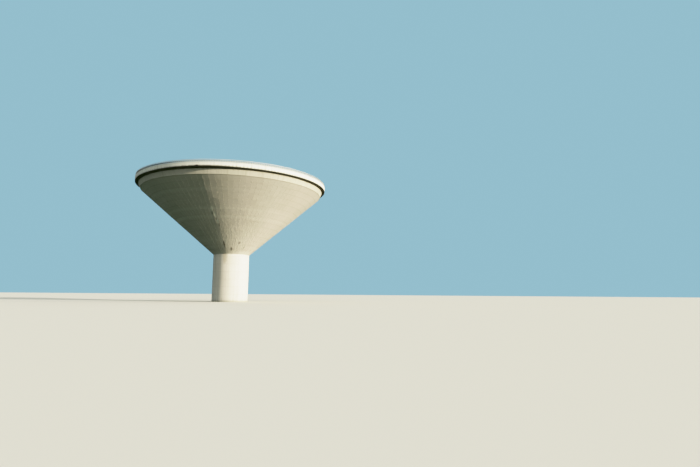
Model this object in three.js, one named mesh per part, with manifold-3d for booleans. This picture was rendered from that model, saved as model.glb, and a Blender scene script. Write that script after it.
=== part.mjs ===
// Elevated water tank of reinforced concrete: an inverted cone on a round shaft, closed by a shallow dome.
// A steeper ring beam tops the cone, and a haunched walkway slab overhangs it, with a white parapet
// round its edge. On the parapet stands a low railing: posts behind an edge board, under a flat rail.
// Millimetres, Z up. The origin is the centre of the shaft's foot at ground level, and the front faces -Y.

import * as THREE from "three";
import { mergeVertices } from "three/addons/utils/BufferGeometryUtils.js";
import Module from "manifold-3d";

const wasm = await Module();
wasm.setup();

// Heights above the ground
const floorTopZ = 150;
const neckZ = 9500;
const coneTopZ = 22000;
const soffitRootZ = 22940;
const soffitEdgeZ = 23130;
const walkwayZ = 23250;
const parapetTopZ = 23920;
const railTopZ = 24380;

// Radii of the round parts, at the corners of their facets
const rimRadius = 19000;
const beamTopRadius = 18340;
const coneTopRadius = 17960;
const shaftRadius = 3560;

// Concrete thicknesses, measured level
const shaftWall = 800;
const coneWallAtNeck = 1200;
const coneWallAtTop = 330;
const parapetWall = 180;
const tankFloorDepth = 400;

// Dome over the tank, with the hatch at its top and two vents
const slabInnerRadius = 17250;
const domeRadius = 17700;
const domeRise = 2400;
const domeShell = 100;
const domeSteps = 5;
const domeFacets = 48;
const hatchHoleRadius = 700;
const hatchKerbWall = 150;
const hatchKerbHeight = 450;
const hatchLidDepth = 60;
const hatchLidOverhang = 60;
const hatchSides = 24;
const ventDistance = 9000;
const ventStemRadius = 150;
const ventStemHeight = 520;
const ventCapRadius = 320;
const ventCapHeight = 160;
const ventSides = 12;

// Railing
const postsAround = 288;
const postWidth = 50;
const postDepth = 60;
const railWidth = 80;
const railHeight = 40;
const postIntoRail = 5;
const boardDepth = 30;
const boardHeight = 220;
const boardAboveParapet = 60;

// Doorway in the back of the shaft
const doorAngle = 180;
const doorwayWidth = 1300;
const doorwayHeight = 2300;
const doorFrameWidth = 70;
const doorFrameDepth = 100;
const doorLeafDepth = 50;
const doorSetback = 180;

// How the round walls are divided, and the clearance between neighbours
const facets = 96;
const coneSegments = 8;
const quarters = 4;
const joint = 0.3;

const shaftInnerRadius = shaftRadius - shaftWall;
const beamInnerRadius = coneTopRadius - coneWallAtTop;
const beamInnerTopRadius = beamTopRadius - coneWallAtTop;
const parapetInnerRadius = rimRadius - parapetWall;
const railRadius = rimRadius - parapetWall / 2;
const domeCurve = (domeRadius ** 2 + domeRise ** 2) / (2 * domeRise);
const domeCentreZ = walkwayZ + domeRise - domeCurve;

const concrete = new THREE.MeshStandardMaterial({ color: 0xc9bea3, roughness: 0.9, metalness: 0 });
const bandPaint = new THREE.MeshStandardMaterial({ color: 0xe2dcc9, roughness: 0.85, metalness: 0 });
const whitePaint = new THREE.MeshStandardMaterial({ color: 0xf3f0e6, roughness: 0.8, metalness: 0 });
const roofConcrete = new THREE.MeshStandardMaterial({ color: 0xb9b5a8, roughness: 0.92, metalness: 0 });
const railPaint = new THREE.MeshStandardMaterial({ color: 0x9b9d99, roughness: 0.5, metalness: 0.1 });
const doorPaint = new THREE.MeshStandardMaterial({ color: 0x77827c, roughness: 0.55, metalness: 0.2 });

// Level direction at an angle in degrees, counted from the front (-Y) towards +X.
function direction(degrees) {
  const angle = THREE.MathUtils.degToRad(degrees);
  return new THREE.Vector2(Math.sin(angle), -Math.cos(angle));
}

// Closed geometry as a solid for cutting and joining.
function solidOf(geometry) {
  const bare = geometry.index ? geometry.toNonIndexed() : geometry.clone();
  bare.deleteAttribute("normal");
  bare.deleteAttribute("uv");
  const merged = mergeVertices(bare, 1e-3);
  return new wasm.Manifold(
    new wasm.Mesh({
      numProp: 3,
      vertProperties: merged.attributes.position.array,
      triVerts: new Uint32Array(merged.index.array),
    }),
  );
}

// A solid's surface as geometry with flat faces.
function geometryOf(solid) {
  const surface = solid.getMesh();
  const indexed = new THREE.BufferGeometry();
  indexed.setAttribute("position", new THREE.BufferAttribute(new Float32Array(surface.vertProperties), 3));
  indexed.setIndex(new THREE.BufferAttribute(new Uint32Array(surface.triVerts), 1));
  const flat = indexed.toNonIndexed();
  flat.computeVertexNormals();
  return flat;
}

// A profile of [radius, height] points, anticlockwise round the solid, turned once about the Z axis.
function turned(profile, sides = facets) {
  const points = profile.map(([radius, height]) => new THREE.Vector2(radius, height));
  return new THREE.LatheGeometry(points, sides).rotateX(Math.PI / 2);
}

// A ring with a closed profile: its first point is repeated at the end.
function ring(profile, sides = facets) {
  return turned([...profile, profile[0]], sides);
}

// A ring with a rectangular section.
function hoop(innerRadius, outerRadius, bottomZ, topZ, sides = facets) {
  return ring(
    [
      [innerRadius, bottomZ],
      [outerRadius, bottomZ],
      [outerRadius, topZ],
      [innerRadius, topZ],
    ],
    sides,
  );
}

// A round plate between two heights.
function disc(radius, bottomZ, topZ, sides = facets) {
  return turned(
    [
      [0, bottomZ],
      [radius, bottomZ],
      [radius, topZ],
      [0, topZ],
    ],
    sides,
  );
}

// The pie slice between two angles, kept back from each side by half a joint, and taller than the tank.
function slice(fromDegrees, toDegrees) {
  const halfAngle = THREE.MathUtils.degToRad((toDegrees - fromDegrees) / 2);
  const tip = direction((fromDegrees + toDegrees) / 2).multiplyScalar(joint / 2 / Math.sin(halfAngle));
  const reach = (2 * rimRadius) / Math.cos(halfAngle);
  const corners = [
    tip,
    direction(fromDegrees).multiplyScalar(reach).add(tip),
    direction(toDegrees).multiplyScalar(reach).add(tip),
  ];
  return new THREE.ExtrudeGeometry(new THREE.Shape(corners), { depth: 2 * railTopZ, bevelEnabled: false });
}

// Cuts a full ring into equal segments, the first one beginning at the front.
function segmentsOf(geometry, count) {
  const whole = solidOf(geometry);
  const step = 360 / count;
  return Array.from({ length: count }, (_, index) =>
    whole.intersect(solidOf(slice(index * step, (index + 1) * step))),
  );
}

// A box standing on the circle of the given radius, turned to face outwards.
function boxOnCircle(width, depth, bottomZ, topZ, radius, degrees) {
  const place = direction(degrees).multiplyScalar(radius);
  return new THREE.BoxGeometry(width, depth, topZ - bottomZ)
    .rotateZ(THREE.MathUtils.degToRad(degrees))
    .translate(place.x, place.y, (bottomZ + topZ) / 2);
}

const tower = new THREE.Group();

function add(name, geometry, material) {
  const mesh = new THREE.Mesh(geometry, material);
  mesh.name = name;
  tower.add(mesh);
}

function addSegments(base, geometry, count, material) {
  segmentsOf(geometry, count).forEach((segment, index) => {
    add(`${base}_${index + 1}`, geometryOf(segment), material);
  });
}

// Two segments of the shaft's wall meet at the doorway's middle, and both are cut for it.
function addShaft() {
  add("shaft_floor", disc(shaftInnerRadius - joint, 0, floorTopZ), roofConcrete);
  const wall = hoop(shaftInnerRadius, shaftRadius, 0, neckZ - joint);
  const doorway = boxOnCircle(
    doorwayWidth,
    3 * shaftWall,
    floorTopZ,
    floorTopZ + doorwayHeight,
    shaftRadius - shaftWall / 2,
    doorAngle,
  );
  segmentsOf(wall, quarters).forEach((segment, index) => {
    add(`shaft_wall_${index + 1}`, geometryOf(segment.subtract(solidOf(doorway))), whitePaint);
  });
}

// A flat panel that faces outwards in the doorway, from its outline seen from outside.
function doorwayPanel(shape, depth) {
  const place = direction(doorAngle).multiplyScalar(shaftRadius - doorSetback - doorFrameDepth / 2);
  return new THREE.ExtrudeGeometry(shape, { depth, bevelEnabled: false })
    .translate(0, 0, -depth / 2)
    .rotateX(Math.PI / 2)
    .rotateZ(THREE.MathUtils.degToRad(doorAngle))
    .translate(place.x, place.y, floorTopZ);
}

function rectangle(left, right, bottom, top) {
  return [
    new THREE.Vector2(left, bottom),
    new THREE.Vector2(right, bottom),
    new THREE.Vector2(right, top),
    new THREE.Vector2(left, top),
  ];
}

function addDoor() {
  const side = doorwayWidth / 2 - joint;
  const top = doorwayHeight - joint;
  const innerSide = side - doorFrameWidth;
  const innerTop = top - doorFrameWidth;
  const frame = new THREE.Shape(rectangle(-side, side, joint, top));
  frame.holes.push(new THREE.Path(rectangle(-innerSide, innerSide, doorFrameWidth, innerTop)));
  add("door_frame", doorwayPanel(frame, doorFrameDepth), doorPaint);
  const leaf = rectangle(joint - innerSide, innerSide - joint, doorFrameWidth + joint, innerTop - joint);
  add("door_leaf", doorwayPanel(new THREE.Shape(leaf), doorLeafDepth), doorPaint);
}

function addTank() {
  add("tank_floor", disc(shaftInnerRadius - joint, neckZ - tankFloorDepth, neckZ - joint), concrete);
  const cone = ring([
    [shaftRadius - coneWallAtNeck, neckZ],
    [shaftRadius, neckZ],
    [coneTopRadius, coneTopZ],
    [beamInnerRadius, coneTopZ],
  ]);
  addSegments("cone_wall", cone, coneSegments, concrete);
  const beam = ring([
    [beamInnerRadius, coneTopZ + joint],
    [coneTopRadius, coneTopZ + joint],
    [beamTopRadius, soffitRootZ - joint],
    [beamInnerTopRadius, soffitRootZ - joint],
  ]);
  addSegments("ring_beam", beam, quarters, bandPaint);
}

// Underside of the overhang at a distance from the axis.
function soffitZ(radius) {
  const share = (radius - beamTopRadius) / (rimRadius - beamTopRadius);
  return soffitRootZ + share * (soffitEdgeZ - soffitRootZ);
}

function addWalkway() {
  const edgeRadius = parapetInnerRadius - joint;
  const slab = ring([
    [slabInnerRadius, soffitRootZ],
    [beamTopRadius, soffitRootZ],
    [edgeRadius, soffitZ(edgeRadius)],
    [edgeRadius, walkwayZ],
    [slabInnerRadius, walkwayZ],
  ]);
  addSegments("walkway_slab", slab, quarters, whitePaint);
  const parapet = ring([
    [parapetInnerRadius, soffitZ(parapetInnerRadius)],
    [rimRadius, soffitEdgeZ],
    [rimRadius, parapetTopZ],
    [parapetInnerRadius, parapetTopZ],
  ]);
  addSegments("parapet", parapet, quarters, whitePaint);
}

// Points of the dome's arc from its foot to the hatch, on the sphere that lies inset from its outer face.
function domeArc(inset) {
  const curve = domeCurve - inset;
  const footRadius = Math.sqrt(curve ** 2 - (walkwayZ - domeCentreZ) ** 2);
  return Array.from({ length: domeSteps + 1 }, (_, index) => {
    const radius = THREE.MathUtils.lerp(footRadius, hatchHoleRadius, index / domeSteps);
    return [radius, domeCentreZ + Math.sqrt(curve ** 2 - radius ** 2) + joint];
  });
}

function addDome() {
  const shell = ring([...domeArc(0), ...domeArc(domeShell).reverse()], domeFacets);
  addSegments("roof_dome", shell, quarters, roofConcrete);
}

// The space that the dome fills up to its outer face, with the clearance that its fittings keep.
function domeMass() {
  const skin = domeArc(-joint);
  const topZ = skin[skin.length - 1][1];
  return solidOf(turned([[0, walkwayZ], [skin[0][0], walkwayZ], ...skin, [0, topZ]], domeFacets));
}

function addRoofFittings() {
  const dome = domeMass();
  const topZ = domeCentreZ + domeCurve;
  const kerbRadius = hatchHoleRadius + hatchKerbWall;
  const kerbTopZ = topZ + hatchKerbHeight;
  const kerb = hoop(hatchHoleRadius, kerbRadius, topZ - domeShell, kerbTopZ, hatchSides);
  add("hatch_kerb", geometryOf(solidOf(kerb).subtract(dome)), roofConcrete);
  const lidRadius = kerbRadius + hatchLidOverhang;
  add("hatch_lid", disc(lidRadius, kerbTopZ + joint, kerbTopZ + hatchLidDepth, hatchSides), railPaint);

  const footZ = domeCentreZ + Math.sqrt(domeCurve ** 2 - ventDistance ** 2);
  const vent = turned(
    [
      [0, footZ - domeShell],
      [ventStemRadius, footZ - domeShell],
      [ventStemRadius, footZ + ventStemHeight],
      [ventCapRadius, footZ + ventStemHeight],
      [0, footZ + ventStemHeight + ventCapHeight],
    ],
    ventSides,
  );
  [90, 270].forEach((degrees, index) => {
    const place = direction(degrees).multiplyScalar(ventDistance);
    const standing = solidOf(vent.clone().translate(place.x, place.y, 0));
    add(`roof_vent_${index + 1}`, geometryOf(standing.subtract(dome)), railPaint);
  });
}

// Each quarter of the railing is a top rail and an edge board, with the posts fused to both. The posts end
// halfway through the board, whose face stays smooth.
function addRailing() {
  const railBottomZ = railTopZ - railHeight;
  const rail = hoop(railRadius - railWidth / 2, railRadius + railWidth / 2, railBottomZ, railTopZ);
  const boardRadius = railRadius + postDepth / 2;
  const boardBottomZ = parapetTopZ + boardAboveParapet;
  const board = hoop(
    boardRadius - boardDepth / 2,
    boardRadius + boardDepth / 2,
    boardBottomZ,
    boardBottomZ + boardHeight,
  );
  const boards = segmentsOf(board, quarters);
  const postsPerQuarter = postsAround / quarters;
  const flatRadius = railRadius * Math.cos(Math.PI / facets);
  segmentsOf(rail, quarters).forEach((segment, quarter) => {
    let panel = segment.add(boards[quarter]);
    for (let index = 0; index < postsPerQuarter; index++) {
      const degrees = ((quarter * postsPerQuarter + index + 0.5) * 360) / postsAround;
      const topZ = railBottomZ + postIntoRail;
      const post = boxOnCircle(postWidth, postDepth, parapetTopZ + joint, topZ, flatRadius, degrees);
      panel = panel.add(solidOf(post));
    }
    add(`railing_${quarter + 1}`, geometryOf(panel), railPaint);
  });
}

addShaft();
addDoor();
addTank();
addWalkway();
addDome();
addRoofFittings();
addRailing();

export default tower;
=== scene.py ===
"""Looks of a conical concrete water tower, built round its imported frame.

Metres, Z up. The tower's axis is the Z axis and its front faces -Y. Angles are in degrees, counted from the
front towards +X.
"""

import functools
import logging
import math
from collections.abc import Callable, Iterable, Sequence
from dataclasses import dataclass
from enum import Enum

import bmesh
import bpy
from mathutils import Matrix, Vector, noise


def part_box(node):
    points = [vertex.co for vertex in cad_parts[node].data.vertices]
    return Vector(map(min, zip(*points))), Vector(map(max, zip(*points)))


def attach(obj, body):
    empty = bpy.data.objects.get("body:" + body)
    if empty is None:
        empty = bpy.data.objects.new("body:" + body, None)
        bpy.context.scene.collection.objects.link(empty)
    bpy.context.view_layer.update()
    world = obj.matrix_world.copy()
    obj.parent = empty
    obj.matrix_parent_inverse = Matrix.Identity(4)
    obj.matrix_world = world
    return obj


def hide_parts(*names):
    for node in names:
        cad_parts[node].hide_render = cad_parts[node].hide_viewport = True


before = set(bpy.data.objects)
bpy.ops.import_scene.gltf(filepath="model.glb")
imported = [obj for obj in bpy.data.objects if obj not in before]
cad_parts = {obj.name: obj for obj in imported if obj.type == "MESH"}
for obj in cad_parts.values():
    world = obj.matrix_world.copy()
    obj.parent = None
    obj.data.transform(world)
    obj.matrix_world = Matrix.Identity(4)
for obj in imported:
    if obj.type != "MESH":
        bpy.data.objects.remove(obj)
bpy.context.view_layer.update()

LOG = logging.getLogger("water_tower")
FULL_TURN = 2 * math.pi
UP = Vector((0.0, 0.0, 1.0))
GAP = 0.0003
MERGE_DISTANCE = 0.0003
SAME_ANGLE = 1e-4
FACING = 0.9
SHARP_ANGLE = math.radians(22)
ROUND_STEPS = 208
RIM_STEPS = 288

Profile = Sequence[tuple[float, float]]
Colour = tuple[float, float, float, float]
Socket = bpy.types.NodeSocket
Value = float | Socket


def paint(red: int, green: int, blue: int) -> Colour:
    """Turns a display colour into the linear one that shaders take.

    Args:
        red: red from 0 to 255.
        green: green from 0 to 255.
        blue: blue from 0 to 255.

    Returns:
        The linear colour, opaque.
    """
    shares = [channel / 255 for channel in (red, green, blue)]
    linear = [s / 12.92 if s <= 0.04045 else ((s + 0.055) / 1.055) ** 2.4 for s in shares]
    return (linear[0], linear[1], linear[2], 1.0)


def direction(degrees: float) -> Vector:
    """Gives the level direction at an angle.

    Args:
        degrees: angle from the front towards +X.

    Returns:
        A level vector of length one.
    """
    angle = math.radians(degrees)
    return Vector((math.sin(angle), -math.cos(angle), 0.0))


# Mesh helpers


def lay_profile(bm: bmesh.types.BMesh, profile: Profile, axis: Vector = Vector()) -> list:
    """Lays a closed profile in front of a vertical axis.

    Args:
        bm: mesh that takes it.
        profile: radius and height of each corner.
        axis: a point of the axis.

    Returns:
        The new points and edges.
    """
    points = [bm.verts.new((axis.x, axis.y - radius, height)) for radius, height in profile]
    edges = [bm.edges.new(pair) for pair in zip(points, points[1:] + points[:1])]
    return points + edges


def spin_profile(bm: bmesh.types.BMesh, profile: Profile, steps: int, axis: Vector = Vector()) -> None:
    """Turns a closed profile once round a vertical axis, as a closed ring with its faces outwards.

    Args:
        bm: mesh that takes it.
        profile: radius and height of each corner.
        steps: number of facets round the ring.
        axis: a point of the axis.
    """
    geometry = lay_profile(bm, profile, axis)
    bmesh.ops.spin(
        bm, geom=geometry, cent=axis, axis=UP, angle=FULL_TURN, steps=steps, use_merge=True,
        use_duplicate=False,
    )
    bmesh.ops.remove_doubles(bm, verts=bm.verts, dist=MERGE_DISTANCE)
    bmesh.ops.dissolve_degenerate(bm, edges=bm.edges, dist=MERGE_DISTANCE)
    bmesh.ops.recalc_face_normals(bm, faces=bm.faces)


def spin_sector(bm: bmesh.types.BMesh, profile: Profile, steps: int, whole: int) -> None:
    """Turns a closed profile through a part of a turn, from the front towards +X, with its faces outwards.

    Args:
        bm: mesh that takes it.
        profile: radius and height of each corner.
        steps: number of facets in the sector.
        whole: number of facets in a whole turn.
    """
    geometry = lay_profile(bm, profile)
    bmesh.ops.spin(
        bm, geom=geometry, cent=Vector(), axis=UP, angle=FULL_TURN * steps / whole, steps=steps,
        use_merge=False, use_duplicate=False,
    )
    bm.normal_update()
    # The open ends lie in planes through the axis, so they would add nothing to the signed volume.
    if bm.calc_volume(signed=True) < 0:
        bmesh.ops.reverse_faces(bm, faces=bm.faces)
        bm.normal_update()


def repeat_round(bm: bmesh.types.BMesh, count: int) -> None:
    """Repeats everything in a mesh round the tower's axis and joins what meets.

    Args:
        bm: mesh that holds one of the repeats.
        count: number of repeats in a whole turn.
    """
    geometry = list(bm.verts) + list(bm.edges) + list(bm.faces)
    bmesh.ops.spin(
        bm, geom=geometry, cent=Vector(), axis=UP, angle=FULL_TURN * (count - 1) / count, steps=count - 1,
        use_merge=False, use_duplicate=True,
    )
    bmesh.ops.remove_doubles(bm, verts=bm.verts, dist=MERGE_DISTANCE)


def angle_of(face: bmesh.types.BMFace) -> float:
    """Gives the angle of a face's middle round the tower, in radians from the front."""
    middle = face.calc_center_median()
    return math.atan2(middle.x, -middle.y)


def raise_panels(
    bm: bmesh.types.BMesh, belongs: Callable[[Vector], bool], width: int, groove: float, relief: float
) -> None:
    """Cuts a row of faces into panels with a joint round each.

    Args:
        bm: mesh of a sector.
        belongs: says whether a face with this middle is in the row.
        width: number of facets in a panel.
        groove: half of the joint's width.
        relief: how far the panels stand out, or in where it is negative.
    """
    row = sorted((f for f in bm.faces if belongs(f.calc_center_median())), key=angle_of)
    turns = [angle_of(face) - angle_of(row[0]) for face in row]
    step = min((turn for turn in turns if turn > SAME_ANGLE), default=1.0)
    columns: dict[int, list] = {}
    for face, turn in zip(row, turns):
        columns.setdefault(round(turn / step), []).append(face)
    for start in range(0, len(columns), width):
        panel = [face for column in range(start, start + width) for face in columns[column]]
        bmesh.ops.inset_region(
            bm, faces=panel, thickness=groove, depth=relief, use_boundary=True, use_even_offset=True
        )


def add_block(bm: bmesh.types.BMesh, low: Sequence[float], high: Sequence[float], bevel: float = 0.0) -> None:
    """Adds a block between two corners.

    Args:
        bm: mesh that takes it.
        low: lowest corner.
        high: highest corner.
        bevel: width of its bevelled edges.
    """
    centre = [(a + b) / 2 for a, b in zip(low, high)]
    spans = [b - a for a, b in zip(low, high)]
    matrix = Matrix.Translation(centre) @ Matrix.Diagonal((*spans, 1.0))
    corners = bmesh.ops.create_cube(bm, size=1.0, matrix=matrix)["verts"]
    if bevel:
        bevel_edges(bm, {edge for corner in corners for edge in corner.link_edges}, bevel)


def add_rod(bm: bmesh.types.BMesh, start: Vector, end: Vector, radius: float, sides: int) -> None:
    """Adds a round rod with closed ends.

    Args:
        bm: mesh that takes it.
        start: middle of one end.
        end: middle of the other end.
        radius: radius of the rod.
        sides: number of facets round it.
    """
    along = end - start
    turn = along.to_track_quat("Z", "X").to_matrix().to_4x4()
    bmesh.ops.create_cone(
        bm, cap_ends=True, segments=sides, radius1=radius, radius2=radius, depth=along.length,
        matrix=Matrix.Translation((start + end) / 2) @ turn,
    )


def bevel_edges(bm: bmesh.types.BMesh, edges: Iterable, width: float, segments: int = 2) -> None:
    """Bevels edges.

    Args:
        bm: mesh that holds them.
        edges: edges to bevel.
        width: width of the bevel.
        segments: number of strips in it.
    """
    bmesh.ops.bevel(
        bm, geom=list(edges), offset=width, offset_type="OFFSET", segments=segments, profile=0.5,
        affect="EDGES", material=-1, clamp_overlap=True,
    )


def mesh_of(name: str, bm: bmesh.types.BMesh) -> bpy.types.Mesh:
    """Makes a mesh from a bmesh, which is freed.

    Args:
        name: name of the mesh.
        bm: the bmesh.

    Returns:
        The mesh.
    """
    mesh = bpy.data.meshes.new(name)
    bm.to_mesh(mesh)
    bm.free()
    return mesh


def add_object(name: str, data: bpy.types.ID) -> bpy.types.Object:
    """Makes an object and links it to the scene.

    Args:
        name: name of the object.
        data: its mesh, light or camera.

    Returns:
        The object.
    """
    made = bpy.data.objects.new(name, data)
    bpy.context.scene.collection.objects.link(made)
    return made


def finish_piece(
    name: str, bm: bmesh.types.BMesh, material: bpy.types.Material, nodes: Sequence[str] = ()
) -> bpy.types.Object:
    """Makes a piece of the tower from its mesh.

    Args:
        name: name of the piece.
        bm: its finished mesh, which is freed.
        material: its finish.
        nodes: the CAD nodes that it stands for.

    Returns:
        The piece, riding on the tower.
    """
    mesh = mesh_of(name, bm)
    mesh.materials.append(material)
    mesh.shade_smooth()
    mesh.set_sharp_from_angle(angle=SHARP_ANGLE)
    piece = add_object(name, mesh)
    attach(piece, "root")
    if nodes:
        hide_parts(*nodes)
    LOG.info("%s: %d faces, stands for %d nodes", name, len(mesh.polygons), len(nodes))
    return piece


def numbered(base: str, count: int) -> list[str]:
    """Names the numbered nodes of one ring."""
    return [f"{base}_{index + 1}" for index in range(count)]


# Shader helpers


class Wiring:
    """Adds nodes to one tree and joins them."""

    def __init__(self, tree: bpy.types.NodeTree) -> None:
        """Keeps the tree that the nodes go into."""
        self.tree = tree

    def feed(self, socket: Socket, value: Value | Colour | Vector) -> None:
        """Joins a socket to another one, or gives it a value.

        Args:
            socket: the input.
            value: what feeds it.
        """
        if isinstance(value, bpy.types.NodeSocket):
            self.tree.links.new(value, socket)
        else:
            socket.default_value = value

    def node(self, kind: str, inputs: dict | None = None, **settings: object) -> bpy.types.Node:
        """Adds a node.

        Args:
            kind: type name of the node.
            inputs: what feeds its inputs, by name or number.
            settings: properties of the node.

        Returns:
            The node.
        """
        made = self.tree.nodes.new(kind)
        for name, value in settings.items():
            setattr(made, name, value)
        for key, value in (inputs or {}).items():
            self.feed(made.inputs[key], value)
        return made

    def math(self, operation: str, first: Value, second: Value = 0.0, third: Value = 0.0) -> Socket:
        """Adds a sum of numbers.

        Args:
            operation: name of the sum.
            first: first number.
            second: second number.
            third: third number, for the sums that take one.

        Returns:
            The result.
        """
        inputs = {0: first, 1: second, 2: third}
        return self.node("ShaderNodeMath", inputs, operation=operation).outputs[0]

    def vector_math(self, operation: str, first: Value | Vector, **others: object) -> Socket:
        """Adds a sum of vectors.

        Args:
            operation: name of the sum.
            first: first vector.
            others: second for a second vector, scale for a number.

        Returns:
            The result.
        """
        made = self.node("ShaderNodeVectorMath", {0: first}, operation=operation)
        if "second" in others:
            self.feed(made.inputs[1], others["second"])
        if "scale" in others:
            self.feed(made.inputs["Scale"], others["scale"])
        return made.outputs["Value" if operation in ("LENGTH", "DOT_PRODUCT") else "Vector"]

    def vector(self, x: Value, y: Value, z: Value) -> Socket:
        """Joins three numbers to a vector."""
        return self.node("ShaderNodeCombineXYZ", {0: x, 1: y, 2: z}).outputs[0]

    def noise(self, place: Socket, scale: Value, detail: float = 3.0, roughness: float = 0.55) -> Socket:
        """Adds cloudy noise.

        Args:
            place: where it is read.
            scale: how many clouds there are to a metre.
            detail: number of finer layers.
            roughness: strength of the finer layers.

        Returns:
            The noise, from 0 to 1.
        """
        inputs = {"Vector": place, "Scale": scale, "Detail": detail, "Roughness": roughness}
        return self.node("ShaderNodeTexNoise", inputs).outputs[0]

    def remap(
        self, value: Value, low: Value, high: Value, to_low: Value = 0.0, to_high: Value = 1.0
    ) -> Socket:
        """Carries a number smoothly from one range to another.

        Args:
            value: the number.
            low: start of its range.
            high: end of its range.
            to_low: result at the start.
            to_high: result at the end.

        Returns:
            The result.
        """
        inputs = {0: value, 1: low, 2: high, 3: to_low, 4: to_high}
        return self.node("ShaderNodeMapRange", inputs, interpolation_type="SMOOTHSTEP").outputs[0]

    def blend(self, share: Value, first: Socket | Colour, second: Socket | Colour) -> Socket:
        """Mixes two colours.

        Args:
            share: share of the second colour.
            first: first colour.
            second: second colour.

        Returns:
            The mixed colour.
        """
        inputs = {0: share, 6: first, 7: second}
        return self.node("ShaderNodeMix", inputs, data_type="RGBA").outputs[2]

    def bump(self, height: Socket, strength: Value, distance: float, normal: Socket | None = None) -> Socket:
        """Makes a surface look uneven.

        Args:
            height: how high the surface stands.
            strength: how strong the effect is.
            distance: height of its relief in metres.
            normal: the normal to start from, where it isn't the surface's own.

        Returns:
            The uneven normal.
        """
        inputs = {"Strength": strength, "Distance": distance, "Height": height}
        if normal is not None:
            inputs["Normal"] = normal
        return self.node("ShaderNodeBump", inputs).outputs[0]

    def effect(self, tree: bpy.types.NodeTree, **inputs: object) -> bpy.types.Node:
        """Places a node group.

        Args:
            tree: the group.
            inputs: what feeds its inputs, with low lines for the blanks in their names.

        Returns:
            The group's node.
        """
        made = self.node("ShaderNodeGroup", node_tree=tree)
        for name, value in inputs.items():
            self.feed(made.inputs[name.replace("_", " ")], value)
        return made


def new_material(name: str) -> tuple[bpy.types.Material, Wiring, bpy.types.Node]:
    """Makes a material with its nodes.

    Args:
        name: name of the material.

    Returns:
        The material, the wiring of its nodes and its shader.
    """
    made = bpy.data.materials.new(name)
    made.use_nodes = True
    return made, Wiring(made.node_tree), made.node_tree.nodes["Principled BSDF"]


class Kind(Enum):
    """Kinds of socket that a node group has."""

    NUMBER = "NodeSocketFloat"
    PLACE = "NodeSocketVector"


class Effect:
    """A node group under construction, with its named sockets."""

    def __init__(self, name: str, places: Sequence[str], numbers: Sequence[str] = ()) -> None:
        """Starts the group.

        Args:
            name: name of the group.
            places: names of the inputs that take a place.
            numbers: names of the inputs that take a number.
        """
        self.tree = bpy.data.node_groups.new(name, "ShaderNodeTree")
        for kind, labels in ((Kind.PLACE, places), (Kind.NUMBER, numbers)):
            for label in labels:
                self.tree.interface.new_socket(label, in_out="INPUT", socket_type=kind.value)
        self.wiring = Wiring(self.tree)
        self.given = self.wiring.node("NodeGroupInput").outputs

    def close(self, **outputs: Socket) -> bpy.types.NodeTree:
        """Puts out the group's results.

        Args:
            outputs: each result by its name.

        Returns:
            The finished group.
        """
        for label, socket in outputs.items():
            kind = Kind.PLACE if socket.type in ("VECTOR", "RGBA") else Kind.NUMBER
            self.tree.interface.new_socket(label, in_out="OUTPUT", socket_type=kind.value)
        end = self.wiring.node("NodeGroupOutput")
        for label, socket in outputs.items():
            self.wiring.feed(end.inputs[label], socket)
        return self.tree


@functools.cache
def round_coordinates() -> bpy.types.NodeTree:
    """Makes the group that gives a point's share of a turn from the front, its radius and its height."""
    effect = Effect("round_coordinates", ("Place",))
    w = effect.wiring
    parts = w.node("ShaderNodeSeparateXYZ", {0: effect.given["Place"]}).outputs
    angle = w.math("ARCTAN2", parts[0], w.math("MULTIPLY", parts[1], -1.0))
    radius = w.vector_math("LENGTH", w.vector(parts[0], parts[1], 0.0))
    return effect.close(Turn=w.math("DIVIDE", angle, FULL_TURN), Radius=radius, Height=parts[2])


@functools.cache
def formwork_panels() -> bpy.types.NodeTree:
    """Makes the group that marks out cast panels: a tone and a lean for each, and masks of their joints."""
    numbers = ("Turn", "Radius", "Along", "Bays", "Lift", "Foot", "Joint Width")
    effect = Effect("formwork_panels", (), numbers)
    w, given = effect.wiring, effect.given
    across = w.math("MULTIPLY", given["Turn"], given["Bays"])
    along = w.math("DIVIDE", w.math("SUBTRACT", given["Along"], given["Foot"]), given["Lift"])
    cell = w.vector(w.math("FLOOR", across), w.math("FLOOR", along), given["Bays"])
    dice = w.node("ShaderNodeTexWhiteNoise", {"Vector": cell}, noise_dimensions="3D").outputs
    average = Vector((0.5, 0.5, 0.5))
    lean = w.vector_math("SUBTRACT", dice["Color"], second=average)
    bay = w.math("DIVIDE", w.math("MULTIPLY", given["Radius"], FULL_TURN), given["Bays"])
    beside = w.math("MULTIPLY", w.math("PINGPONG", across, 0.5), bay)
    above = w.math("MULTIPLY", w.math("PINGPONG", along, 0.5), given["Lift"])
    width = given["Joint Width"]
    upright = w.remap(beside, 0.0, width, 1.0, 0.0)
    level = w.remap(above, 0.0, width, 1.0, 0.0)
    return effect.close(Tone=dice["Value"], Lean=lean, Upright=upright, Level=level)


@functools.cache
def rain_streaks() -> bpy.types.NodeTree:
    """Makes the group of streaks that run down a round wall without a seam, and of their raw cloud."""
    effect = Effect("rain_streaks", ("Place",), ("Radius", "Along", "Count", "Fall"))
    w, given = effect.wiring, effect.given
    share = w.math("DIVIDE", given["Count"], given["Radius"])
    parts = w.node("ShaderNodeSeparateXYZ", {0: w.vector_math("SCALE", given["Place"], scale=share)}).outputs
    place = w.vector(parts[0], parts[1], w.math("MULTIPLY", given["Along"], given["Fall"]))
    cloud = w.noise(place, scale=1.0, detail=4.0, roughness=0.6)
    return effect.close(Streak=w.remap(cloud, low=0.44, high=0.72), Cloud=cloud)


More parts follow.
